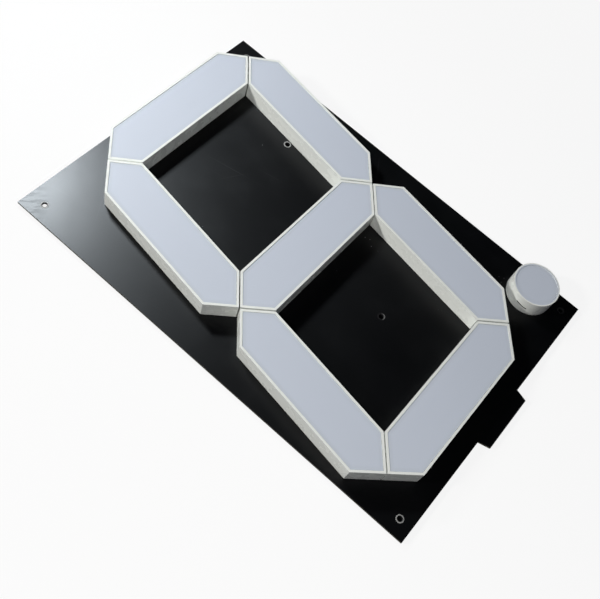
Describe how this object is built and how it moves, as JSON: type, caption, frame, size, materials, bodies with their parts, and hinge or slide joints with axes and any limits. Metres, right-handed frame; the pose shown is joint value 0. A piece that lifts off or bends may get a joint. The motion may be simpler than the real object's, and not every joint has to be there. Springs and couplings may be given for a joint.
{
  "type": "seven segment display",
  "caption": "Large single-digit display board with separate white mitred segment boxes, milky diffusers, a round decimal point box and a contact tongue at its lower edge.",
  "frame": {"origin": "under the middle of the board's outline with its contact tongue, at the level of the screw heads that the display rests on", "axes": "+X to the right of the digit, +Y to its top, +Z out of its face"},
  "size_m": [0.2198, 0.3306, 0.0171],
  "materials": {
    "board": "black solder mask on glass-epoxy laminate, semi-gloss",
    "plating": "tinned copper, satin",
    "contacts": "gold-plated copper",
    "housing": "moulded white plastic, satin",
    "diffuser": "milky cast sheet, smooth",
    "led": "white package with a clear filled cup",
    "resistor": "black glazed chip with tinned caps",
    "screw": "zinc-plated steel"
  },
  "bodies": {
    "root": {"circuit_board": "board", "hole_plating": "plating", "edge_contacts": "contacts", "segment_a_housing": "housing", "segment_b_housing": "housing", "segment_c_housing": "housing", "segment_d_housing": "housing", "segment_e_housing": "housing", "segment_f_housing": "housing", "segment_g_housing": "housing", "dot_housing": "housing", "segment_a_diffuser": "diffuser", "segment_b_diffuser": "diffuser", "segment_c_diffuser": "diffuser", "segment_d_diffuser": "diffuser", "segment_e_diffuser": "diffuser", "segment_f_diffuser": "diffuser", "segment_g_diffuser": "diffuser", "dot_diffuser": "diffuser", "segment_a_leds": "led", "segment_b_leds": "led", "segment_c_leds": "led", "segment_d_leds": "led", "segment_e_leds": "led", "segment_f_leds": "led", "segment_g_leds": "led", "dot_leds": "led", "series_resistors": "resistor", "housing_screws": "screw"}
  },
  "joints": []
}
